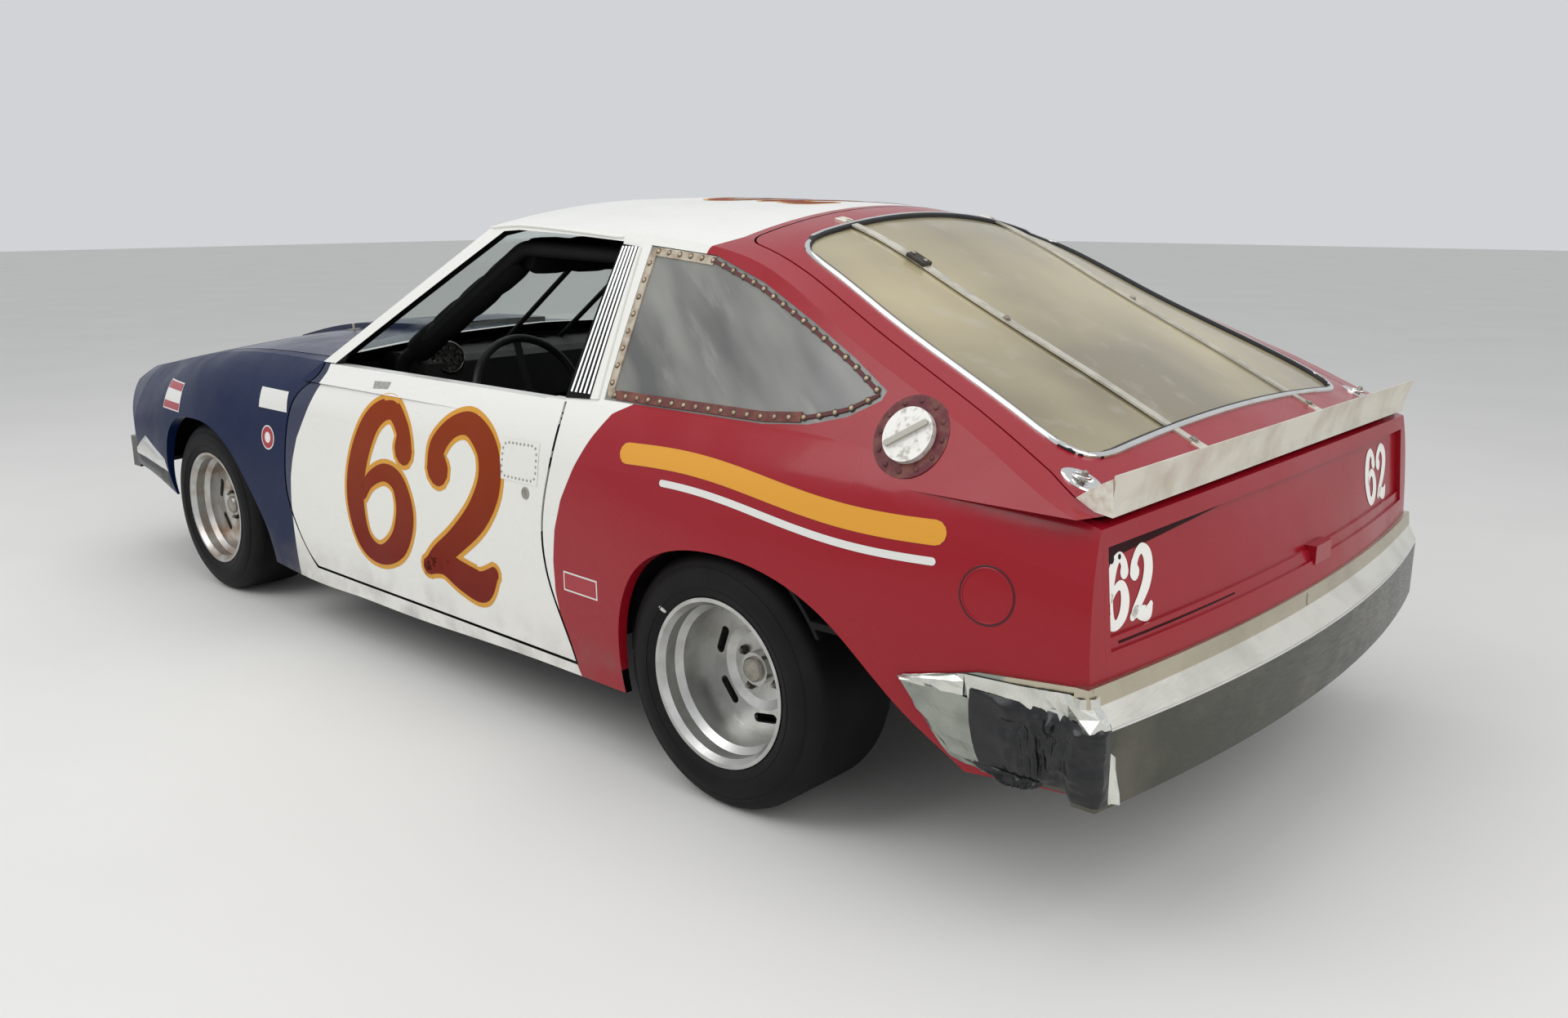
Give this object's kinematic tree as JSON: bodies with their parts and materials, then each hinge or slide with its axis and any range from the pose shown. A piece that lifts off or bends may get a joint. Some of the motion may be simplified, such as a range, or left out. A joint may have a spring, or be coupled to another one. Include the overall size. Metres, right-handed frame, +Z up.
{
  "type": "hatchback",
  "caption": "Hatchback race car with opening doors, hood and hatch, steered front wheels, and a stripped cabin with a roll cage.",
  "frame": {"origin": "centre of the car's overall box, on the floor under the tyres", "axes": "+X forward, +Y to the car's left, +Z up"},
  "size_m": [4.3026, 1.7632, 1.317],
  "materials": {
    "white_paint": "glossy white paint, a little dulled",
    "navy_paint": "satin dark navy paint",
    "crimson_paint": "glossy dark crimson paint",
    "black_paint": "flat black paint inside and below",
    "clear_glass": "clear laminated glass",
    "hazy_sheet": "scratched, yellowed plastic sheet",
    "dull_aluminium": "dull folded sheet",
    "steel": "silver painted steel",
    "lamp_glass": "clear lamp lens",
    "tyre_rubber": "matt slick tyre",
    "iron": "dirty cast iron",
    "bare_steel": "dark steel",
    "seat_shell": "black moulded shell",
    "dash_plastic": "worn black plastic",
    "grip_rubber": "black grip"
  },
  "bodies": {
    "chassis": {"roof_panel": "white_paint", "quarter_panel_left": "crimson_paint", "quarter_panel_right": "crimson_paint", "fender_left": "navy_paint", "fender_right": "navy_paint", "nose_panel": "navy_paint", "tail_panel": "crimson_paint", "windshield": "clear_glass", "quarter_windows": "hazy_sheet", "rear_bumper": "dull_aluminium", "front_bumper": "dull_aluminium", "headlamps": "lamp_glass", "grille": "dash_plastic", "floor_pan": "black_paint", "chassis_rails": "black_paint", "rear_axle": "iron", "leaf_springs": "bare_steel", "engine_block": "iron", "exhaust_pipes": "bare_steel", "control_arms": "bare_steel", "steering_column": "bare_steel", "dashboard": "dash_plastic", "seat": "seat_shell", "roll_cage": "black_paint", "fuel_cell": "seat_shell", "fuel_filler": "crimson_paint", "pillar_trims": "dull_aluminium"},
    "door_left": {"door_left": "white_paint"},
    "door_right": {"door_right": "white_paint"},
    "hood": {"hood_panel": "navy_paint"},
    "hatch": {"hatch_frame": "crimson_paint", "hatch_glass": "hazy_sheet", "rear_spoiler": "dull_aluminium", "hatch_straps": "dull_aluminium"},
    "knuckle_left": {"knuckle_left": "iron"},
    "knuckle_right": {"knuckle_right": "iron"},
    "steering_wheel": {"steering_wheel": "grip_rubber"},
    "rear_wheel_left": {"rear_rim_left": "steel", "rear_tyre_left": "tyre_rubber"},
    "rear_wheel_right": {"rear_rim_right": "steel", "rear_tyre_right": "tyre_rubber"},
    "front_wheel_left": {"front_rim_left": "steel", "front_tyre_left": "tyre_rubber"},
    "front_wheel_right": {"front_rim_right": "steel", "front_tyre_right": "tyre_rubber"}
  },
  "joints": [
    {"name": "door_left_hinge", "type": "hinge", "parent": "chassis", "child": "door_left", "pos_m": [0.6335, 0.858, 0.5], "axis": [0, 0, -1], "range_deg": [0, 60]},
    {"name": "door_right_hinge", "type": "hinge", "parent": "chassis", "child": "door_right", "pos_m": [0.6335, -0.858, 0.5], "axis": [0, 0, 1], "range_deg": [0, 60]},
    {"name": "hood_hinge", "type": "hinge", "parent": "chassis", "child": "hood", "pos_m": [0.6035, 0, 0.89], "axis": [0, -1, 0], "range_deg": [0, 50]},
    {"name": "hatch_hinge", "type": "hinge", "parent": "chassis", "child": "hatch", "pos_m": [-0.9805, 0, 1.3], "axis": [0, 1, 0], "range_deg": [0, 60]},
    {"name": "steer_left", "type": "hinge", "parent": "chassis", "child": "knuckle_left", "pos_m": [1.2715, 0.69, 0.29], "axis": [0, 0, 1], "range_deg": [-25, 25]},
    {"name": "steer_right", "type": "hinge", "parent": "chassis", "child": "knuckle_right", "pos_m": [1.2715, -0.69, 0.29], "axis": [0, 0, 1], "range_deg": [-25, 25]},
    {"name": "steering_wheel_turn", "type": "hinge", "parent": "chassis", "child": "steering_wheel", "pos_m": [0.0835, 0.37, 0.73], "axis": [0.9397, 0, -0.342], "range_deg": [-355, 355]},
    {"name": "rear_wheel_left_spin", "type": "hinge", "parent": "chassis", "child": "rear_wheel_left", "pos_m": [-1.1665, 0.7, 0.29], "axis": [0, 1, 0], "continuous": true},
    {"name": "rear_wheel_right_spin", "type": "hinge", "parent": "chassis", "child": "rear_wheel_right", "pos_m": [-1.1665, -0.7, 0.29], "axis": [0, 1, 0], "continuous": true},
    {"name": "front_wheel_left_spin", "type": "hinge", "parent": "knuckle_left", "child": "front_wheel_left", "pos_m": [1.2715, 0.7, 0.29], "axis": [0, 1, 0], "continuous": true},
    {"name": "front_wheel_right_spin", "type": "hinge", "parent": "knuckle_right", "child": "front_wheel_right", "pos_m": [1.2715, -0.7, 0.29], "axis": [0, 1, 0], "continuous": true}
  ],
  "couplings": [
    {"joint": "steer_right", "follows": "steer_left", "ratio": 1},
    {"joint": "steering_wheel_turn", "follows": "steer_left", "ratio": -14}
  ]
}
